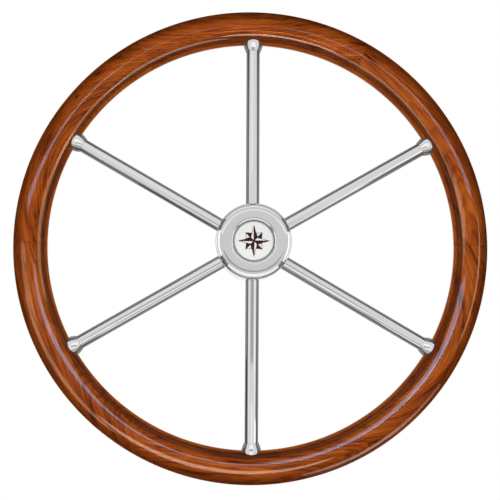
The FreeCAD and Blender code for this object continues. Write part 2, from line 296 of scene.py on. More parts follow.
cameraSettings = {
    "distance": 1.0,        # metres from the shaft's axis
    "azimuth": -2.25,       # degrees, seen from a little to the left
    "elevation": -4.82,     # and from a little below
    "roll": 0.28,
    "focalPixels": 1052.6,  # in a frame of 500 pixels
    "framePixels": 500,
    "axisPixel": (252.2, 244.6),
    "sensor": 36.0,
    "nearest": 0.01,        # metres, where its sight begins
}


def makeCamera(s):
    azimuth = radians(s["azimuth"])
    elevation = radians(s["elevation"])
    back = Vector((sin(azimuth) * cos(elevation), -cos(azimuth) * cos(elevation), sin(elevation)))
    bpy.ops.object.camera_add(location=back * s["distance"])
    camera = bpy.context.object
    camera.name = "camera"
    camera.rotation_mode = "QUATERNION"
    aim = (-back).to_track_quat("-Z", "Y")
    camera.rotation_quaternion = aim @ Quaternion((0, 0, 1), radians(s["roll"]))
    camera.data.sensor_width = s["sensor"]
    camera.data.lens = s["focalPixels"] / s["framePixels"] * s["sensor"]
    middle = s["framePixels"] / 2
    camera.data.shift_x = (middle - s["axisPixel"][0]) / s["framePixels"]
    camera.data.shift_y = (s["axisPixel"][1] - middle) / s["framePixels"]
    camera.data.clip_start = s["nearest"]
    bpy.context.scene.camera = camera


freeHands()
makeCamera(cameraSettings)
print("camera set")


# rim: six felloes of varnished wood

rimSettings = {
    "radius": 209.0,        # middle of the round section
    "section": 15.976,      # its radius, under the varnish
    "count": 6,
    "sides": 96,
    "steps": 72,            # along one felloe
}
rimRadius = rimSettings["radius"]
spokeAngles = [number * 360 / rimSettings["count"] for number in range(rimSettings["count"])]

woodSettings = {
    "dark": tint(82, 31, 8),
    "brown": tint(130, 56, 14),
    "orange": tint(166, 77, 20),
    "light": tint(192, 102, 34),
    "stops": (0.36, 0.46, 0.56, 0.70),  # the tone at which each of these four colours stands
    # the darkest brown, for streaks, veins, pores, glue lines and the painted shade on the rim's
    # sides
    "streak": tint(56, 20, 6),
    "knotHeart": tint(30, 12, 6),
    # patterns, with how fine they are along the tree and across it, per metre
    "wander": {"scale": (9, 34, 34), "detail": 3.0},
    "fibres": {"scale": (26, 620, 620), "detail": 5.0, "roughness": 0.6},
    "streaks": {"scale": (11, 190, 190), "detail": 4.0},
    "mottle": {"scale": (20, 60, 60), "detail": 3.0},
    "pores": {"scale": (240, 2400, 2400), "detail": 2.0},
    "ripples": {"scale": (12, 110, 110), "detail": 1.0},
    "seedShares": (1, 0.7, 1.3),        # of a felloe's seed, along each axis
    # the share of each pattern in the tone
    "fibreShare": 0.42,
    "streakShare": 0.33,
    "mottleShare": 0.35,
    "lateShare": 0.07,
    # growth rings, darker in the late wood near the end of each
    "ringSpacing": 2.6,
    "ringWander": 5.0,      # in rings
    "lateStart": (0.35, 0.9),
    "lateEnd": (1.0, 0.93),
    # dark veins, where streaks and mottle are both low
    "veinStart": 0.36,
    "figureGain": 0.05,     # more of them where a felloe has more figure
    "veinSoftness": 0.09,
    "veinMottle": (0.62, 0.42),
    "veinStrength": 0.75,
    "poreFade": (0.63, 0.73),
    "poreStrength": 0.45,
    # a knot, drawn out along the grain, with its halo and its heart
    "knotStretch": (0.8, 0.4, 1.7),
    "haloFade": (5.0, 1.2),
    "haloStrength": 0.45,
    "heartFade": (1.7, 0.9),
    # painted shade, darker along the inner side and a little towards the outer edge, by the side of
    # the section: -1 at the rim's inner edge, 1 at its outer edge
    "innerFade": (-0.52, -0.7),
    "innerEnd": (-0.96, -0.84),
    "innerPaintedShade": 0.66,
    "outerFade": (0.0, 0.8),
    "outerPaintedShade": 0.55,
    "glueWidth": 0.2,
    "glueCore": 0.3,        # share of the width that is darkest
    "glueStrength": 0.6,
    # the varnish over it
    "specular": 0.25,
    "roughness": 0.06,
    "haze": 0.03,
    "ior": 1.5,
    "bump": (0.04, 0.002),  # strength, and depth in metres
}

# per felloe: how the tree lay to the board (turns in degrees, middle of the tree in mm), how much
# its grain bows (per metre), where its patterns start, how strong its veins are, and a knot
grainSettings = [
    {"turn": (0, 2, 3), "heart": (0, 60, -70), "bow": 0.0, "seed": 3.1, "figure": 0.6},
    {"turn": (0, 5, -4), "heart": (0, 90, 40), "bow": 1.0, "seed": 7.7, "figure": 0.0},
    {"turn": (0, 0, 5), "heart": (0, -46, 80), "bow": 6.5, "seed": 12.3, "figure": 1.0},
    {"turn": (0, -2, -4), "heart": (0, 70, -50), "bow": 0.5, "seed": 18.9, "figure": 1.0},
    {"turn": (0, -12, 3), "heart": (0, -80, -60), "bow": 0.0, "seed": 23.4, "figure": 0.0},
    {"turn": (0, -8, -5), "heart": (0, 50, 90), "bow": 6.0, "seed": 31.6, "figure": 0.8,
     "knot": (35.3, -14.5, 3.9)},
]


def addKnot(finish, colour, board, knot):
    look = woodSettings
    fromKnot = finish.vectors("SUBTRACT", board, Vector(knot) * mm)
    away = finish.distance(fromKnot, look["knotStretch"])
    halo, heart = [finish.fade(away, start * mm, end * mm)
                   for start, end in (look["haloFade"], look["heartFade"])]
    colour = finish.colours(halo * look["haloStrength"], colour, look["dark"])
    return finish.colours(heart, colour, look["knotHeart"])


def addPaintedShade(finish, colour):
    # painted shade: a darker band along the inner side, and a slight darkening towards the outer
    # edge
    look = woodSettings
    offAxis = finish.distance(finish.place(), (1, 0, 1))
    side = (offAxis - rimRadius * mm) / (rimSettings["section"] * mm)
    inner = finish.fade(side, *look["innerFade"]) * finish.fade(side, *look["innerEnd"])
    outer = finish.fade(side, *look["outerFade"])
    paintedShade = inner * look["innerPaintedShade"] + outer * look["outerPaintedShade"]
    return finish.colours(paintedShade, colour, look["streak"])


def addGlue(finish, colour, chord, depth):
    # the glue line where two felloes meet
    look = woodSettings
    half = radians(180 / rimSettings["count"])
    across = finish.maths("ABSOLUTE", chord) * cos(half)
    toJoint = finish.maths("ABSOLUTE", across - (depth + rimRadius * mm) * sin(half))
    width = look["glueWidth"] * mm
    glue = finish.fade(toJoint, width, width * look["glueCore"])
    return finish.colours(glue * look["glueStrength"], colour, look["streak"])


def varnishedWood(number, angle):
    look, grain = woodSettings, grainSettings[number - 1]
    finish = Finish(f"varnishedWood{number}")
    board = finish.place(turn=(0, radians(-angle), 0), shift=(0, 0, -rimRadius * mm))
    chord = finish.node("SeparateXYZ", sockets={"Vector": board})
    depth = finish.node("SeparateXYZ", sockets={"Vector": board}, output=2)
    bowed = finish.node("CombineXYZ", sockets={2: chord * chord * grain["bow"]})
    tree = finish.node("Mapping", sockets={
        "Vector": finish.vectors("ADD", board, bowed), "Location": Vector(grain["heart"]) * mm,
        "Rotation": [radians(turn) for turn in grain["turn"]]})
    seed = [grain["seed"] * share for share in look["seedShares"]]
    seeded = finish.vectors("ADD", tree, seed)
    # growth rings round the middle of the tree, which wander a little
    wander = finish.noise(seeded, **look["wander"])
    rings = finish.distance(tree, (0, 1, 1)) / (look["ringSpacing"] * mm)
    ring = finish.maths("FRACT", rings + wander * look["ringWander"])
    late = finish.fade(ring, *look["lateStart"]) * finish.fade(ring, *look["lateEnd"])
    # fibres and streaks along the tree
    fibre = finish.noise(seeded, **look["fibres"])
    streak = finish.noise(seeded, **look["streaks"])
    mottle = finish.noise(seeded, **look["mottle"])
    tone = fibre * look["fibreShare"] + streak * look["streakShare"]
    tone = tone + mottle * look["mottleShare"] - late * look["lateShare"]
    browns = [look["dark"], look["brown"], look["orange"], look["light"]]
    colour = finish.node("ValToRGB", {"stops": list(zip(look["stops"], browns))}, {"Fac": tone})
    start = look["veinStart"] + look["figureGain"] * grain["figure"]
    vein = finish.fade(streak, start, start - look["veinSoftness"])
    vein = vein * finish.fade(mottle, *look["veinMottle"])
    colour = finish.colours(vein * look["veinStrength"], colour, look["streak"])
    pore = finish.fade(finish.noise(seeded, **look["pores"]), *look["poreFade"])
    colour = finish.colours(pore * look["poreStrength"], colour, look["streak"])
    if "knot" in grain:
        colour = addKnot(finish, colour, board, grain["knot"])
    # painted shade along the rim's sides, then the glue lines
    colour = addGlue(finish, addPaintedShade(finish, colour), chord, depth)
    ripples = finish.noise(seeded, **look["ripples"])
    return finish.surface({
        "Base Color": colour, "Roughness": look["roughness"] + mottle * look["haze"],
        "IOR": look["ior"], "Specular IOR Level": look["specular"],
        "Normal": finish.bump(ripples, *look["bump"])})


def makeFelloe(s):
    # one circle spun back through a sixth of a turn, then both ends filled
    freeHands()
    bpy.ops.mesh.primitive_circle_add(
        vertices=s["sides"], radius=s["section"] * mm, fill_type="NOTHING",
        location=(0, 0, s["radius"] * mm), rotation=(0, radians(90), 0))
    felloe = settle(bpy.context.object)
    felloe.rotation_euler = (0, radians(180 / s["count"]), 0)
    settle(felloe)
    pick(felloe, "EDIT")
    bpy.ops.mesh.select_all(action="SELECT")
    bpy.ops.mesh.spin(
        steps=s["steps"], angle=radians(360 / s["count"]), center=(0, 0, 0), axis=(0, 1, 0))
    bpy.ops.mesh.select_all(action="DESELECT")
    bpy.ops.mesh.select_non_manifold()
    bpy.ops.mesh.fill_holes(sides=0)
    pointOut(felloe)
    smooth(felloe)
    return felloe


felloe = makeFelloe(rimSettings)
felloes = []
for number, angle in enumerate(spokeAngles, 1):
    piece = copyAround(felloe, f"rimFelloe{number}", angle)
    dress(piece, varnishedWood(number, angle), f"rim_felloe_{number}")
    piece.visible_glossy = False        # the steel mirrors a dull ring of the studio instead
    felloes.append(piece)
print("rim:", len(felloes), "felloes")


# polished steel, for the spokes, ferrules, hub and cap

steelSettings = {
    "colour": tint(200, 200, 201),
    "bright": tint(207, 207, 207),
    "turnedColour": tint(189, 189, 190),
    "turnedBright": tint(196, 196, 196),
    "clouds": {"scale": 55.0, "detail": 3.0},
    "polishing": (1900, 1900, 14),      # lines per metre, across the piece and along it
    "turning": 2600,        # rings per metre from the axis, which a lathe leaves
    "lineDetail": 3.0,
    "roughness": 0.04,
    "haze": 0.03,           # roughness that the clouds add
    "hazeFade": (0.35, 0.7),
    "lineHaze": 0.03,       # roughness that the lines add
    "bump": (0.015, 0.0005),
}


def polishedSteel(name, turn=(0, 0, 0), lines="lengthwise"):
    look = steelSettings
    finish = Finish(name)
    here = finish.place(turn=turn)
    if lines == "turned":
        colour, bright = look["turnedColour"], look["turnedBright"]
        offAxis = finish.distance(here, (1, 0, 1))
        along = finish.node("CombineXYZ", sockets={0: offAxis * look["turning"]})
    else:
        colour, bright = look["colour"], look["bright"]
        along = finish.vectors("MULTIPLY", here, look["polishing"])
    line = finish.noise(along, 1.0, detail=look["lineDetail"])
    cloud = finish.noise(here, **look["clouds"])
    rough = look["roughness"] + look["haze"] * finish.fade(cloud, *look["hazeFade"])
    return finish.surface({
        "Base Color": finish.colours(cloud, colour, bright), "Metallic": 1.0,
        "Roughness": rough + line * look["lineHaze"], "Normal": finish.bump(line, *look["bump"])})


# spokes

spokeSettings = {
    "radius": 6.35,
    "start": 27.0,          # in its seat in the hub, from the point where the axes meet
    "end": 192.686,         # short of the wood
    "chamfer": 0.3,
    "holeRadius": 4.05,     # tapped holes for the studs
    "holeDepth": 17.0,
    "sides": 96,
    "setBack": 6.0,         # rim behind the point where the axes meet
}
spokeLean = atan2(spokeSettings["setBack"], rimRadius)
spokeReach = sqrt(spokeSettings["setBack"] ** 2 + rimRadius ** 2)


def onTopSpoke(piece):
    # from the Z axis to the leaning axis of the top spoke
    piece.rotation_euler = (-spokeLean, 0, 0)
    piece.location = (0, -spokeSettings["setBack"] * mm, 0)
    return settle(piece)


def makeSpoke(s):
    start, end, depth = s["start"], s["end"], s["holeDepth"]
    bar = turnPiece("spoke", [
        (s["holeRadius"], start + depth),
        (s["holeRadius"], start),
        (s["radius"] - s["chamfer"], start),
        (s["radius"], start + s["chamfer"]),
        (s["radius"], end - s["chamfer"]),
        (s["radius"] - s["chamfer"], end),
        (s["holeRadius"], end),
        (s["holeRadius"], end - depth),
    ], s["sides"])
    smooth(bar)
    return onTopSpoke(bar)


# ferrules

ferruleSettings = {
    "reach": 7.2,           # from the rim's inner edge down the spoke
    "barrel": 1.2,          # the same, as far as the barrel's corner
    "bore": 6.4,            # radius, as the next two
    "lip": 6.9,
    "bell": 9.2,
    "blend": 2.22,          # either side of that corner
    "blendSegments": 8,
    "lipRound": 0.12,
    "lipSegments": 3,
    "sides": 128,
}


def makeFerrule(s, rim):
    wood = spokeReach - rimSettings["section"]
    low = wood - s["reach"]
    bend = wood - s["barrel"]
    high = wood + rimSettings["section"]
    bell = turnPiece("ferrule", [
        (s["bore"], low),
        (s["lip"], low),
        (s["bell"], bend),
        (s["bell"], high),
        (s["bore"], high),
    ], s["sides"], rounds=[
        (s["bell"], bend, s["blend"], s["blendSegments"]),
        (s["lip"], low, s["lipRound"], s["lipSegments"]),
    ], ends="joined")
    onTopSpoke(bell)
    carve(bell, rim)        # the saddle is cut by the rim's own round
    pointOut(bell)
    smooth(bell)
    return bell


spoke = makeSpoke(spokeSettings)
ferrule = makeFerrule(ferruleSettings, felloe)
bars, ferrules = [], []
for number, angle in enumerate(spokeAngles, 1):
    steel = polishedSteel(f"spokeSteel{number}", turn=(0, radians(-angle), 0))
    bars.append(copyAround(spoke, f"spoke{number}", angle))
    ferrules.append(copyAround(ferrule, f"spokeFerrule{number}", angle))
    dress(bars[-1], steel, f"spoke_{number}")
    dress(ferrules[-1], steel, f"spoke_ferrule_{number}")
scrap(spoke, ferrule, felloe)
print("spokes and ferrules fitted")


# hub

hubSettings = {
    "radius": 35.0,
    "face": 44.0,           # heights grow towards the steersman
    "heel": -6.0,           # where the boss begins
    "bossRadius": 22.0,
    "bossEnd": -22.0,
    "shoulder": 7.5,
    "shoulderSegments": 24,
    "lip": 3.0,
    "lipSegments": 14,
    "heelRound": 3.0,
    "heelSegments": 10,
    "bossRoot": 2.0,
    "rootSegments": 8,
    "bossEdge": 1.5,
    "boreRadius": 9.525,
    "boreEnd": 14.0,        # floor of the nut chamber
    "boreEdge": 1.0,
    "chamberRadius": 16.5,
    "seatRadius": 18.6,     # of the cap's seat
    "seatFloor": 33.0,
    "socketRadius": 6.4,    # seats for the spokes in the hub's side
    "socketSides": 96,
    "socketPast": 8.0,      # how far their cutters reach past the hub
    "keyWidth": 4.76,
    "keyReach": 11.925,     # top of the keyway from the axis
    "keyPast": 2.0,         # how far its cutter reaches past the boss
    "sides": 256,
}


def makeHub(s):
    hub = turnPiece("hub", [
        (s["boreRadius"], s["bossEnd"] + s["boreEdge"]),
        (s["boreRadius"] + s["boreEdge"], s["bossEnd"]),
        (s["bossRadius"] - s["bossEdge"], s["bossEnd"]),
        (s["bossRadius"], s["bossEnd"] + s["bossEdge"]),
        (s["bossRadius"], s["heel"]),
        (s["radius"], s["heel"]),
        (s["radius"], s["face"]),
        (s["seatRadius"], s["face"]),
        (s["seatRadius"], s["seatFloor"]),
        (s["chamberRadius"], s["seatFloor"]),
        (s["chamberRadius"], s["boreEnd"]),
        (s["boreRadius"], s["boreEnd"]),
    ], s["sides"], rounds=[
        (s["radius"], s["face"], s["shoulder"], s["shoulderSegments"]),
        (s["seatRadius"], s["face"], s["lip"], s["lipSegments"]),
        (s["radius"], s["heel"], s["heelRound"], s["heelSegments"]),
        (s["bossRadius"], s["heel"], s["bossRoot"], s["rootSegments"]),
    ], ends="joined")
    faceSteersman(hub)
    # the keyway at the top spoke
    freeHands()
    bpy.ops.mesh.primitive_cube_add(size=1)
    key = bpy.context.object
    length = s["boreEnd"] - s["bossEnd"] + s["keyPast"]
    key.scale = (s["keyWidth"] * mm, length * mm, s["keyReach"] * mm)
    key.location = (0, (-s["boreEnd"] + length / 2) * mm, s["keyReach"] / 2 * mm)
    settle(key)
    carve(hub, key)
    scrap(key)
    # a seat for each spoke
    for angle in spokeAngles:
        seat = turnPiece("seat", [
            (s["socketRadius"], spokeSettings["start"]),
            (s["socketRadius"], s["radius"] + s["socketPast"]),
        ], s["socketSides"])
        onTopSpoke(seat)
        cutter = copyAround(seat, "seatCutter", angle)
        carve(hub, cutter)
        scrap(seat, cutter)
    pointOut(hub)
    smooth(hub)
    return hub


hub = makeHub(hubSettings)
dress(hub, polishedSteel("hubSteel", lines="turned"), "hub")
print("hub turned:", len(hub.data.polygons), "faces")


# cap and badge

capSettings = {
    "radius": 18.3,
    "base": 33.0,           # on the floor of its seat
    "height": 8.0,
    "rim": 0.9,             # width round the badge
    "edge": 0.25,
    "badgeDepth": 1.2,
    "floor": 2.0,           # thickness under the badge
    "hollow": 15.26,        # radius of the open inside
    "groove": 16.56,        # radius in the seal ring's groove
    "grooveLow": 2.8,
    "grooveHigh": 5.2,
    "edgeSegments": 4,
    "sides": 192,
}
capTop = capSettings["base"] + capSettings["height"]

badgeSettings = {
    "radius": 17.3,
    "thickness": 1.2,
    "edge": 0.2,
    "edgeSegments": 4,
    "sides": 192,
    "shade": tint(238, 238, 237),
    "lighter": tint(246, 246, 246),
    "clouds": {"scale": 90.0, "detail": 3.0},
    "ripples": {"scale": 260.0, "detail": 2.0},
    "roughness": 0.12,
    "haze": 0.06,
    "ior": 1.5,
    "bump": (0.02, 0.001),
}


def makeCap(s):
    base = s["base"]
    seat = s["radius"] - s["rim"]
    floor = capTop - s["badgeDepth"]
    cap = turnPiece("hubCap", [
        (s["hollow"], floor - s["floor"]),
        (s["hollow"], base),
        (s["radius"], base),
        (s["radius"], base + s["grooveLow"]),
        (s["groove"], base + s["grooveLow"]),
        (s["groove"], base + s["grooveHigh"]),
        (s["radius"], base + s["grooveHigh"]),
        (s["radius"], capTop),
        (seat, capTop),
        (seat, floor),
    ], s["sides"], rounds=[
        (s["radius"], capTop, s["edge"], s["edgeSegments"]),
        (seat, capTop, s["edge"], s["edgeSegments"]),
    ])
    smooth(cap)
    return faceSteersman(cap)


def makeBadge(s):
    disc = turnPiece("capBadge", [
        (s["radius"], capTop - s["thickness"]),
        (s["radius"], capTop),
    ], s["sides"], rounds=[(s["radius"], capTop, s["edge"], s["edgeSegments"])])
    smooth(disc)
    return faceSteersman(disc)


def whiteEnamel(look):
    finish = Finish("whiteEnamel")
    here = finish.place()
    cloud = finish.noise(here, **look["clouds"])
    ripples = finish.noise(here, **look["ripples"])
    return finish.surface({
        "Base Color": finish.colours(cloud, look["shade"], look["lighter"]),
        "Roughness": look["roughness"] + cloud * look["haze"], "IOR": look["ior"],
        "Normal": finish.bump(ripples, *look["bump"])})


cap = makeCap(capSettings)
badge = makeBadge(badgeSettings)
dress(cap, polishedSteel("capSteel", lines="turned"), "hub_cap")
dress(badge, whiteEnamel(badgeSettings), "cap_badge")
print("cap and badge in place")


# compass rose

roseSettings = {
    "longTip": 14.9,        # all four from the middle of the badge
    "longNotch": 4.35,      # where two long points meet
    "shortTip": 11.0,
    "shortNotch": 7.0,      # where a short one's sides, drawn on, meet a long one's middle
    "thickness": 0.15,
    "line": 0.36,           # outline of each light half
    "blank": 5.0,           # radius of the triangle that each half is made from
    "shade": tint(46, 18, 9),
    "lighter": tint(64, 34, 22),
    "clouds": {"scale": 900.0},
    "roughness": 0.25,
    "haze": 0.1,
}


def crossing(a, b, c, d):
    # where the line a-b meets the line c-d
    first, second = b - a, d - c
    share = (c - a).cross(second).z / first.cross(second).z
    return a + first * share


def halfPoint(corners, s, filled):
    # one half of a compass point: a triangle, solid when dark, only an outline when light
    freeHands()
    bpy.ops.mesh.primitive_circle_add(vertices=3, radius=s["blank"] * mm, fill_type="NGON")
    piece = bpy.context.object
    for index, place in enumerate(corners):
        freeHands()
        move = place * mm - piece.data.vertices[index].co
        pickCorners(piece, lambda corner: corner.index == index)
        bpy.ops.transform.translate(value=move)
    bpy.ops.mesh.select_all(action="SELECT")
    if not filled:
        bpy.ops.mesh.inset(thickness=s["line"] * mm)
        bpy.ops.mesh.delete(type="ONLY_FACE")
        bpy.ops.mesh.select_all(action="SELECT")
    bpy.ops.mesh.extrude_region_move(TRANSFORM_OT_translate={"value": (0, 0, s["thickness"] * mm)})
    pointOut(piece)
    return piece


def joinUp(pieces, name):
    freeHands()
    for piece in pieces:
        piece.select_set(True)
    bpy.context.view_layer.objects.active = pieces[0]
    bpy.ops.object.join()
    pieces[0].name = pieces[0].data.name = name
    return pieces[0]


def makeRose(s):
    middle = Vector((0, 0, 0))
    notch = Vector((s["longNotch"], s["longNotch"], 0)) * sqrt(0.5)
    north, east = Vector((0, s["longTip"], 0)), Vector((s["longTip"], 0, 0))
    shortTip = Vector((s["shortTip"], s["shortTip"], 0)) * sqrt(0.5)
    behindEast = crossing(notch, east, shortTip, Vector((s["shortNotch"], 0, 0)))
    behindNorth = Vector((behindEast.y, behindEast.x, 0))
    quarter = [
        halfPoint([middle, north, notch], s, True),
        halfPoint([middle, north, Vector((-notch.x, notch.y, 0))], s, False),
        halfPoint([notch, shortTip, behindEast], s, True),
        halfPoint([notch, shortTip, behindNorth], s, False),
    ]
    halves = list(quarter)
    for turn in (90, 180, 270):
        halves += [copyTurned(half, "halfPoint", (0, 0, radians(turn))) for half in quarter]
    rose = joinUp(halves, "compassRose")
    rose.location = (0, 0, capTop * mm)
    return faceSteersman(settle(rose))


rose = makeRose(roseSettings)
dress(rose, clouded("darkEnamel", roseSettings), "compass_rose")
print("compass rose printed")


# pieces of the frame that stay, and their finishes

studSettings = {
    "shade": tint(150, 150, 150),
    "lighter": tint(190, 190, 188),
    "clouds": {"scale": 400.0},
    "roughness": 0.3,
    "haze": 0.15,
}
dowelSettings = {
    "shade": tint(178, 138, 92),
    "lighter": tint(214, 178, 128),
    "fibres": {"scale": (900, 900, 120)},
    "roughness": 0.7,
}
sealSettings = {
    "shade": tint(22, 22, 22),
    "lighter": tint(38, 38, 38),
    "clouds": {"scale": 700.0},
    "roughness": 0.6,
    "haze": 0.1,
}


def dowelWood(look):
    finish = Finish("dowelWood")
    fibre = finish.noise(finish.place(), **look["fibres"])
    shade = finish.colours(fibre, look["shade"], look["lighter"])
    return finish.surface({"Base Color": shade, "Roughness": look["roughness"]})


def wear(names, finish):
    for name in names:
        node = nodes[name]
        node.data.materials.clear()
        node.data.materials.append(finish)


studs = [name for name in nodes if "_stud_" in name]
dowels = [name for name in nodes if name.startswith("felloe_dowel")]
wear(studs, clouded("studSteel", studSettings, Metallic=1.0))
wear(dowels, dowelWood(dowelSettings))
wear(["cap_seal_ring"], clouded("sealRubber", sealSettings))
print("frame pieces dressed")


# studio: all its lengths are metres, unless a note says otherwise

backdropSettings = {
    "floorHeight": -0.5,
    "floorRadius": 40.0,
    "floorSides": 64,
    "floorShade": tint(236, 236, 236),
    "floorFade": (0.6, 1.4),        # from the floor with its shadow to a plain white backdrop
    "floorGlow": 0.5,       # keeps the floor pale to the eye
    "worldFill": 0.36,
    "white": (1, 1, 1, 1),
}


def sightRays(finish):
    # 1 for what the camera, polished metal and glass see, 0 for the light on matt surfaces
    path = finish.node("LightPath")
    outputs = path.socket.node.outputs
    camera = Wire(finish, outputs["Is Camera Ray"])
    glossy = Wire(finish, outputs["Is Glossy Ray"])
    through = Wire(finish, outputs["Is Transmission Ray"])
    return finish.maths("MINIMUM", camera + glossy + through, 1.0)


def makeWorld(s):
    # a white backdrop to the eye and to polished metal, and a soft fill to the rest
    world = bpy.data.worlds.new("studio")
    bpy.context.scene.world = world
    finish = Finish("studio", world)
    white = finish.node("Background", sockets={"Color": s["white"], "Strength": 1.0})
    fill = finish.node("Background", sockets={"Color": s["white"], "Strength": s["worldFill"]})
    mixed = finish.node("MixShader", sockets={0: sightRays(finish), 1: fill, 2: white})
    finish.node("OutputWorld", sockets={"Surface": mixed})


def makeFloor(s):
    # a pale floor that keeps the wheel's shadow, and turns into the white backdrop further off
    freeHands()
    bpy.ops.mesh.primitive_circle_add(
        vertices=s["floorSides"], radius=s["floorRadius"], fill_type="NGON",
        location=(0, 0, s["floorHeight"]))
    floor = settle(bpy.context.object)
    floor.name = "floor"
    finish = Finish("paleFloor")
    away = finish.distance(finish.place(), (1, 1, 0))
    far = finish.fade(away, *s["floorFade"])
    matt = finish.node("BsdfDiffuse", sockets={"Color": s["floorShade"]})
    glow = finish.node("Emission", sockets={"Color": s["white"], "Strength": 1.0})
    glowing = s["floorGlow"] + far * (1 - s["floorGlow"])
    mixed = finish.node("MixShader", sockets={0: glowing * sightRays(finish), 1: matt, 2: glow})
    finish.node("OutputMaterial", sockets={"Surface": mixed})
    floor.data.materials.append(finish.owner)


makeWorld(backdropSettings)
makeFloor(backdropSettings)
print("floor and backdrop laid")


def gather(name, pieces):
    group = bpy.data.collections.new(name)
    for piece in pieces:
        group.objects.link(piece)
    return group


# what the lamps may shine on, with the felloes counted from 0 at the top
litGroups = {
    "rim": gather("rimPieces", felloes),
    "rimLow": gather("lowFelloes", felloes[2:5]),
    "rimLowLeft": gather("lowLeftFelloes", felloes[3:5]),
    "rimHigh": gather("highFelloes", felloes[:2] + felloes[5:]),
    "rimTop": gather("topFelloe", felloes[:1]),
    "rimTopLeft": gather("topLeftFelloes", felloes[:1] + felloes[5:]),
    "rimLeft": gather("leftFelloes", felloes[4:]),
    "rimRight": gather("rightFelloes", felloes[1:3]),
    "hub": gather("hubPieces", [hub]),
    "steel": gather("steelPieces", [hub, cap] + bars + ferrules),
    "bars": gather("barPieces", bars),
    "ferrules": gather("ferrulePieces", ferrules),
}

# Radiance is how bright a lamp's face is, where 1 is white. The lamp with no "to" lights matt
# surfaces. The others only give a gleam, and only to the group that they name.
# A lamp has a place, and an aim or a way that it faces. With a clock it stands beside the wheel,
# at that clockwise angle from the top. With four it is four lamps alike round the shaft's axis.
# Lamps in one plane hide each other, so each set of four has a reach of its own.
panelReach = 0.42           # of lamps beside the wheel, inside the flags
facings = {"down": (0, 0, -1), "up": (0, 0, 1), "right": (1, 0, 0), "back": (0, 1, 0)}
wallSides = {"Top": (0, 1), "Low": (0, -1), "Left": (-1, 0), "Right": (1, 0)}   # x and z
whiteLight = (1.0, 1.0, 1.0)
coolLight = (0.30, 0.68, 1.0)

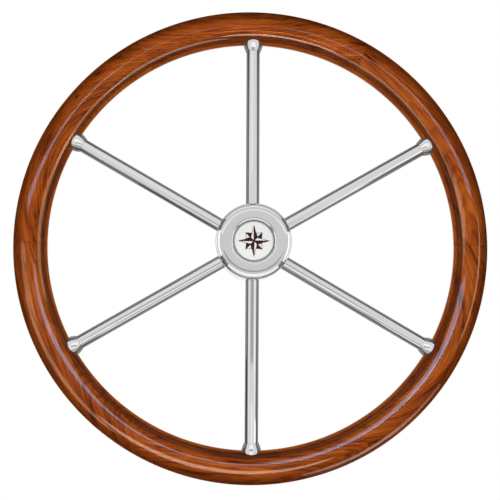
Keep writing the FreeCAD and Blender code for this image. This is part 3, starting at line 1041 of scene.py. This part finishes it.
lampSettings = {
    "frontKey": {"place": (-0.2, -1.5, -0.17), "aim": (0, 0, 0), "size": (2.4, 0.56),
                 "radiance": 4.0},
    # polished steel mirrors a bright front, dark flags beside the wheel and grey behind it
    "steelFront": {"place": (0, -0.6, 0), "facing": "back", "size": (3.2, 3.2),
                   "radiance": 1.0, "to": "steel"},
    "steelFloor": {"place": (0, -0.36, -0.46), "facing": "up", "size": (1.4, 0.5),
                   "radiance": 0.5, "to": "steel"},
    "steel": {"four": ("Top", "Low", "Left", "Right"), "reach": 0.31, "y": 0.8,
              "size": (0.62, 1.5), "colour": (1.0, 0.99, 0.97), "radiance": 0.34, "to": "steel"},
    "edge": {"four": ("Top", "Right", "Low", "Left"), "reach": 0.305, "y": -0.05,
             "size": (0.6, 0.22), "colour": (1.0, 0.98, 0.96), "radiance": 0.26, "to": "steel"},
    "ferruleFront": {"place": (0, -0.5, 0), "facing": "back", "size": (0.6, 0.6),
                     "shape": "DISK", "radiance": 0.4, "to": "ferrules"},
    # brighter places in front and below, for soft streaks along the spokes
    "streakRight": {"place": (0.6, -0.57, -0.16), "facing": "back", "size": (0.22, 0.5),
                    "radiance": 0.5, "to": "bars"},
    "streakLeft": {"place": (-0.78, -0.57, -0.16), "facing": "back", "size": (0.3, 0.5),
                   "radiance": 0.25, "to": "bars"},
    "streakHigh": {"place": (-0.2, -0.57, 0.34), "facing": "back", "size": (0.5, 0.3),
                   "radiance": 0.16, "to": "bars"},
    "streakLow": {"place": (0, -0.57, -0.29), "facing": "back", "size": (0.3, 0.14),
                  "radiance": 0.3, "to": "bars"},
    "streakFloor": {"place": (-0.25, -0.5, -0.45), "facing": "up", "size": (0.5, 0.16),
                    "radiance": 0.6, "to": "bars"},
    "streakBelow": {"clock": 133, "y": -0.16, "size": (0.2, 0.17), "radiance": 1.0, "to": "bars"},
    "streakBelowToo": {"clock": 167, "y": -0.18, "size": (0.2, 0.2), "radiance": 0.6,
                       "to": "bars"},
    # the hub's round shoulder mirrors more of the room
    "hubTop": {"place": (0, 0.02, 0.3), "facing": "down", "size": (0.7, 0.4),
               "radiance": 0.75, "to": "hub"},
    "hubLow": {"place": (0, -0.12, -0.3), "facing": "up", "size": (0.7, 0.42),
               "radiance": 1.1, "to": "hub"},
    "hubLeft": {"place": (-0.3, 0.03, 0), "facing": "right", "size": (0.4, 0.24),
                "radiance": 1.5, "to": "hub"},
    "hubRight": {"place": (0.3, 0.03, -0.03), "aim": (0, 0.03, 0), "size": (0.4, 0.28),
                 "radiance": 1.5, "to": "hub"},
    "hubFar": {"four": ("Top", "Low", "Left", "Right"), "reach": 0.307, "y": 0.75,
               "size": (0.6, 1.1), "radiance": 0.2, "to": "hub"},
    "hubCeiling": {"place": (0.05, -1.62, 0.46), "facing": "down", "size": (2.5, 1.2),
                   "radiance": 0.45, "to": "hub"},
    # long gleams in the varnish of the lower felloes: cool from above, warm from below and beside
    "ceilingLeft": {"place": (-0.48, -1.22, 0.32), "facing": "down", "size": (1.0, 1.2),
                    "colour": coolLight, "radiance": 9.0, "to": "rimLow"},
    "ceilingRight": {"place": (0.36, -1.74, 0.33), "facing": "down", "size": (1.6, 1.1),
                     "spin": -58, "colour": coolLight, "radiance": 10.5, "to": "rimLow"},
    "table": {"place": (-0.08, -0.38, -0.36), "facing": "up", "size": (0.5, 0.34),
              "shape": "ELLIPSE", "colour": (1.0, 0.78, 0.60), "radiance": 13.0, "to": "rimLow"},
    "bandLeft": {"clock": 238, "y": -0.165, "size": (0.36, 0.15), "shape": "ELLIPSE",
                 "colour": (1.0, 0.70, 0.46), "radiance": 7.0, "to": "rimLowLeft"},
    "bandRight": {"clock": 97, "y": -0.19, "size": (0.26, 0.08), "shape": "ELLIPSE",
                  "colour": (1.0, 0.70, 0.46), "radiance": 9.0, "to": "rimRight"},
    "bandLow": {"clock": 145, "y": -0.015, "size": (0.46, 0.1), "shape": "ELLIPSE",
                "spread": 66, "colour": (1.0, 0.70, 0.56), "radiance": 8.5, "to": "rimLow"},
    # warm light from behind, for the last of the rim's round
    "warm": {"four": ("Top", "Low", "Left", "Right"), "reach": 0.315, "y": 1.0,
             "size": (0.63, 1.6), "colour": (1.0, 0.28, 0.06), "radiance": 0.9, "to": "rim"},
    # the same for the upper felloes and the rim's sides
    "farCeiling": {"place": (0.02, -0.72, 0.32), "facing": "down", "size": (0.6, 0.34),
                   "colour": coolLight, "radiance": 3.4, "to": "rimTop"},
    "farLeft": {"place": (-0.6, -1.27, 0.32), "facing": "down", "size": (1.0, 0.86),
                "colour": coolLight, "radiance": 8.5, "to": "rimHigh"},
    "farRight": {"place": (0.5, -1.12, 0.32), "facing": "down", "size": (0.84, 0.74),
                 "colour": coolLight, "radiance": 7.5, "to": "rimHigh"},
    "highFront": {"clock": 185, "y": -0.45, "size": (0.3, 0.2), "shape": "ELLIPSE",
                  "colour": (1.0, 0.80, 0.66), "radiance": 18.0, "to": "rimHigh"},
    "orangeLine": {"place": (-0.035, -1.02, -0.36), "facing": "up", "size": (0.34, 0.4),
                   "colour": (1.0, 0.27, 0.05), "radiance": 50.0, "to": "rimTop"},
    "highLeft": {"clock": 222, "y": -0.32, "size": (0.36, 0.24), "shape": "ELLIPSE",
                 "colour": (1.0, 0.72, 0.46), "radiance": 7.5, "to": "rimHigh"},
    "highLeftEnd": {"clock": 264, "y": -0.42, "size": (0.34, 0.32), "shape": "ELLIPSE",
                    "colour": (1.0, 0.72, 0.46), "radiance": 4.5, "to": "rimRight"},
    "highRight": {"clock": 91, "y": -0.22, "size": (0.36, 0.44), "shape": "ELLIPSE",
                  "colour": (1.0, 0.56, 0.28), "radiance": 9.5, "to": "rimLeft"},
    "highRightLow": {"clock": 118, "y": -0.14, "size": (0.26, 0.42), "shape": "ELLIPSE",
                     "colour": (1.0, 0.56, 0.30), "radiance": 9.5, "to": "rimTopLeft"},
    "highLow": {"clock": 148, "y": -0.14, "size": (0.32, 0.4), "shape": "ELLIPSE",
                "colour": (1.0, 0.72, 0.50), "radiance": 10.0, "to": "rimTopLeft"},
    # a wall that the whole rim mirrors, and the horizon in its lower half
    "leftWall": {"place": (-1.8, -1.75, -0.1), "aim": (0, 0, -0.1), "size": (1.5, 0.6),
                 "colour": (1.0, 0.80, 0.50), "radiance": 4.6, "to": "rim"},
    "horizon": {"place": (0, -2.4, 0.07), "facing": "back", "size": (1.5, 0.05),
                "colour": (1.0, 0.36, 0.06), "radiance": 7.0, "to": "rimLow"},
}


def lampStand(s):
    # where a lamp stands and how it is turned
    if "clock" in s:
        # its length runs round the wheel and its width along the shaft
        clock = radians(s["clock"])
        place = Vector((sin(clock) * panelReach, s["y"], cos(clock) * panelReach))
        return place, Quaternion((0, 1, 0), clock)
    place = Vector(s["place"])
    towards = Vector(s["aim"]) - place if "aim" in s else Vector(facings[s["facing"]])
    spin = Quaternion((0, 0, 1), radians(s.get("spin", 0)))
    return place, towards.to_track_quat("-Z", "Y") @ spin


def addLamp(name, s):
    freeHands()
    place, turn = lampStand(s)
    bpy.ops.object.light_add(type="AREA", location=place)
    lamp = bpy.context.object
    lamp.name = name
    lamp.rotation_mode = "QUATERNION"
    lamp.rotation_quaternion = turn
    lamp.data.shape = s.get("shape", "RECTANGLE")
    lamp.data.size = s["size"][0]
    if lamp.data.shape != "DISK":
        lamp.data.size_y = s["size"][1]
    lamp.data.color = s.get("colour", whiteLight)
    share = 1 if lamp.data.shape == "RECTANGLE" else pi / 4
    if "spread" in s:
        # a narrower lamp puts the same energy into fewer directions
        half = radians(s["spread"] / 2)
        lamp.data.spread = 2 * half
        share *= 1 - half / tan(half)
    lamp.data.energy = s["radiance"] * pi * s["size"][0] * s["size"][1] * share
    lamp.visible_camera = False
    lamp.visible_diffuse = "to" not in s
    lamp.visible_glossy = "to" in s
    if "to" in s:
        lamp.light_linking.receiver_collection = litGroups[s["to"]]


def addFour(name, s):
    # above, below and at both sides, each facing the shaft's axis
    for side in s["four"]:
        x, z = wallSides[side]
        place = (x * s["reach"], s["y"], z * s["reach"])
        size = s["size"] if z else s["size"][::-1]
        addLamp(name + side, {**s, "place": place, "aim": (0, s["y"], 0), "size": size})


for name, lamp in lampSettings.items():
    if "four" in lamp:
        addFour(name, lamp)
    else:
        addLamp(name, lamp)
print("lamps placed")


# stage pieces that only a gloss mirrors: flags, a room, a ring and cards

roomSettings = {
    "flagRadius": 0.45,
    "flagStart": -0.165,
    "flagEnd": 2.0,
    "flagSides": 96,
    "flagShade": tint(40, 38, 36),
    "roomSize": (6.4, 3.0, 2.2),
    "roomLift": 0.01,       # above the floor
    "roomShade": tint(84, 82, 79),
    "ringSection": 15.4,    # millimetres
    "ringSides": (192, 32),         # round the wheel and round the section
    "ringShade": tint(104, 94, 84),
}

# small cards that give the polish something dark to mirror
cardSettings = {
    "cameraCard": {"place": (-0.02, -0.45, -0.085), "aim": (-0.02, 0, -0.085),
                   "size": (0.42, 0.13), "shade": tint(204, 202, 200)},
    "lowLeftCard": {"place": (-0.213, 0.045, -0.166), "aim": (0, 0.045, 0),
                    "size": (0.1, 0.12), "shade": tint(28, 18, 12)},
    "lowRightCard": {"place": (0.14, 0.03, -0.243), "aim": (0, 0.03, 0),
                     "size": (0.05, 0.16), "shade": tint(110, 108, 104)},
}


def hideAway(card, name, shade):
    # neither the camera nor the light on matt surfaces meets it
    freeHands()
    card.name = name
    finish = Finish(name)
    glow = finish.node("Emission", sockets={"Color": shade, "Strength": 1.0})
    finish.node("OutputMaterial", sockets={"Surface": glow})
    card.data.materials.append(finish.owner)
    card.visible_camera = False
    card.visible_diffuse = False
    card.visible_shadow = False
    card.visible_transmission = False


def makeRoom(s):
    # dark flags round the wheel
    freeHands()
    bpy.ops.mesh.primitive_cylinder_add(
        vertices=s["flagSides"], radius=s["flagRadius"], depth=s["flagEnd"] - s["flagStart"],
        end_fill_type="NOTHING", location=(0, (s["flagStart"] + s["flagEnd"]) / 2, 0),
        rotation=(radians(90), 0, 0))
    hideAway(settle(bpy.context.object), "darkFlags", s["flagShade"])
    # a dark room in front of them, open towards the wheel
    freeHands()
    width, depth, height = s["roomSize"]
    middle = s["flagStart"] - depth / 2
    bottom = backdropSettings["floorHeight"] + s["roomLift"]
    bpy.ops.mesh.primitive_cube_add(
        size=1, scale=(width, depth, height), location=(0, middle, bottom + height / 2))
    room = settle(bpy.context.object)
    pickCorners(room, lambda corner: corner.co.y > middle)
    bpy.ops.mesh.delete(type="ONLY_FACE")
    hideAway(room, "darkRoom", s["roomShade"])
    # polished steel meets this dull ring in place of the rim, which lies round it
    freeHands()
    bpy.ops.mesh.primitive_torus_add(
        major_segments=s["ringSides"][0], minor_segments=s["ringSides"][1],
        major_radius=rimRadius * mm, minor_radius=s["ringSection"] * mm,
        rotation=(radians(90), 0, 0))
    hideAway(settle(bpy.context.object), "rimInTheMirror", s["ringShade"])


def makeCard(name, s):
    freeHands()
    place = Vector(s["place"])
    bpy.ops.mesh.primitive_plane_add(size=1)
    plane = bpy.context.object
    plane.scale = (s["size"][0], s["size"][1], 1)
    plane.location = place
    plane.rotation_mode = "QUATERNION"
    plane.rotation_quaternion = (Vector(s["aim"]) - place).to_track_quat("Z", "Y")
    hideAway(settle(plane), name, s["shade"])


makeRoom(roomSettings)
for name, card in cardSettings.items():
    makeCard(name, card)
bpy.context.scene.view_settings.view_transform = "Standard"
freeHands()

print("studio lit")
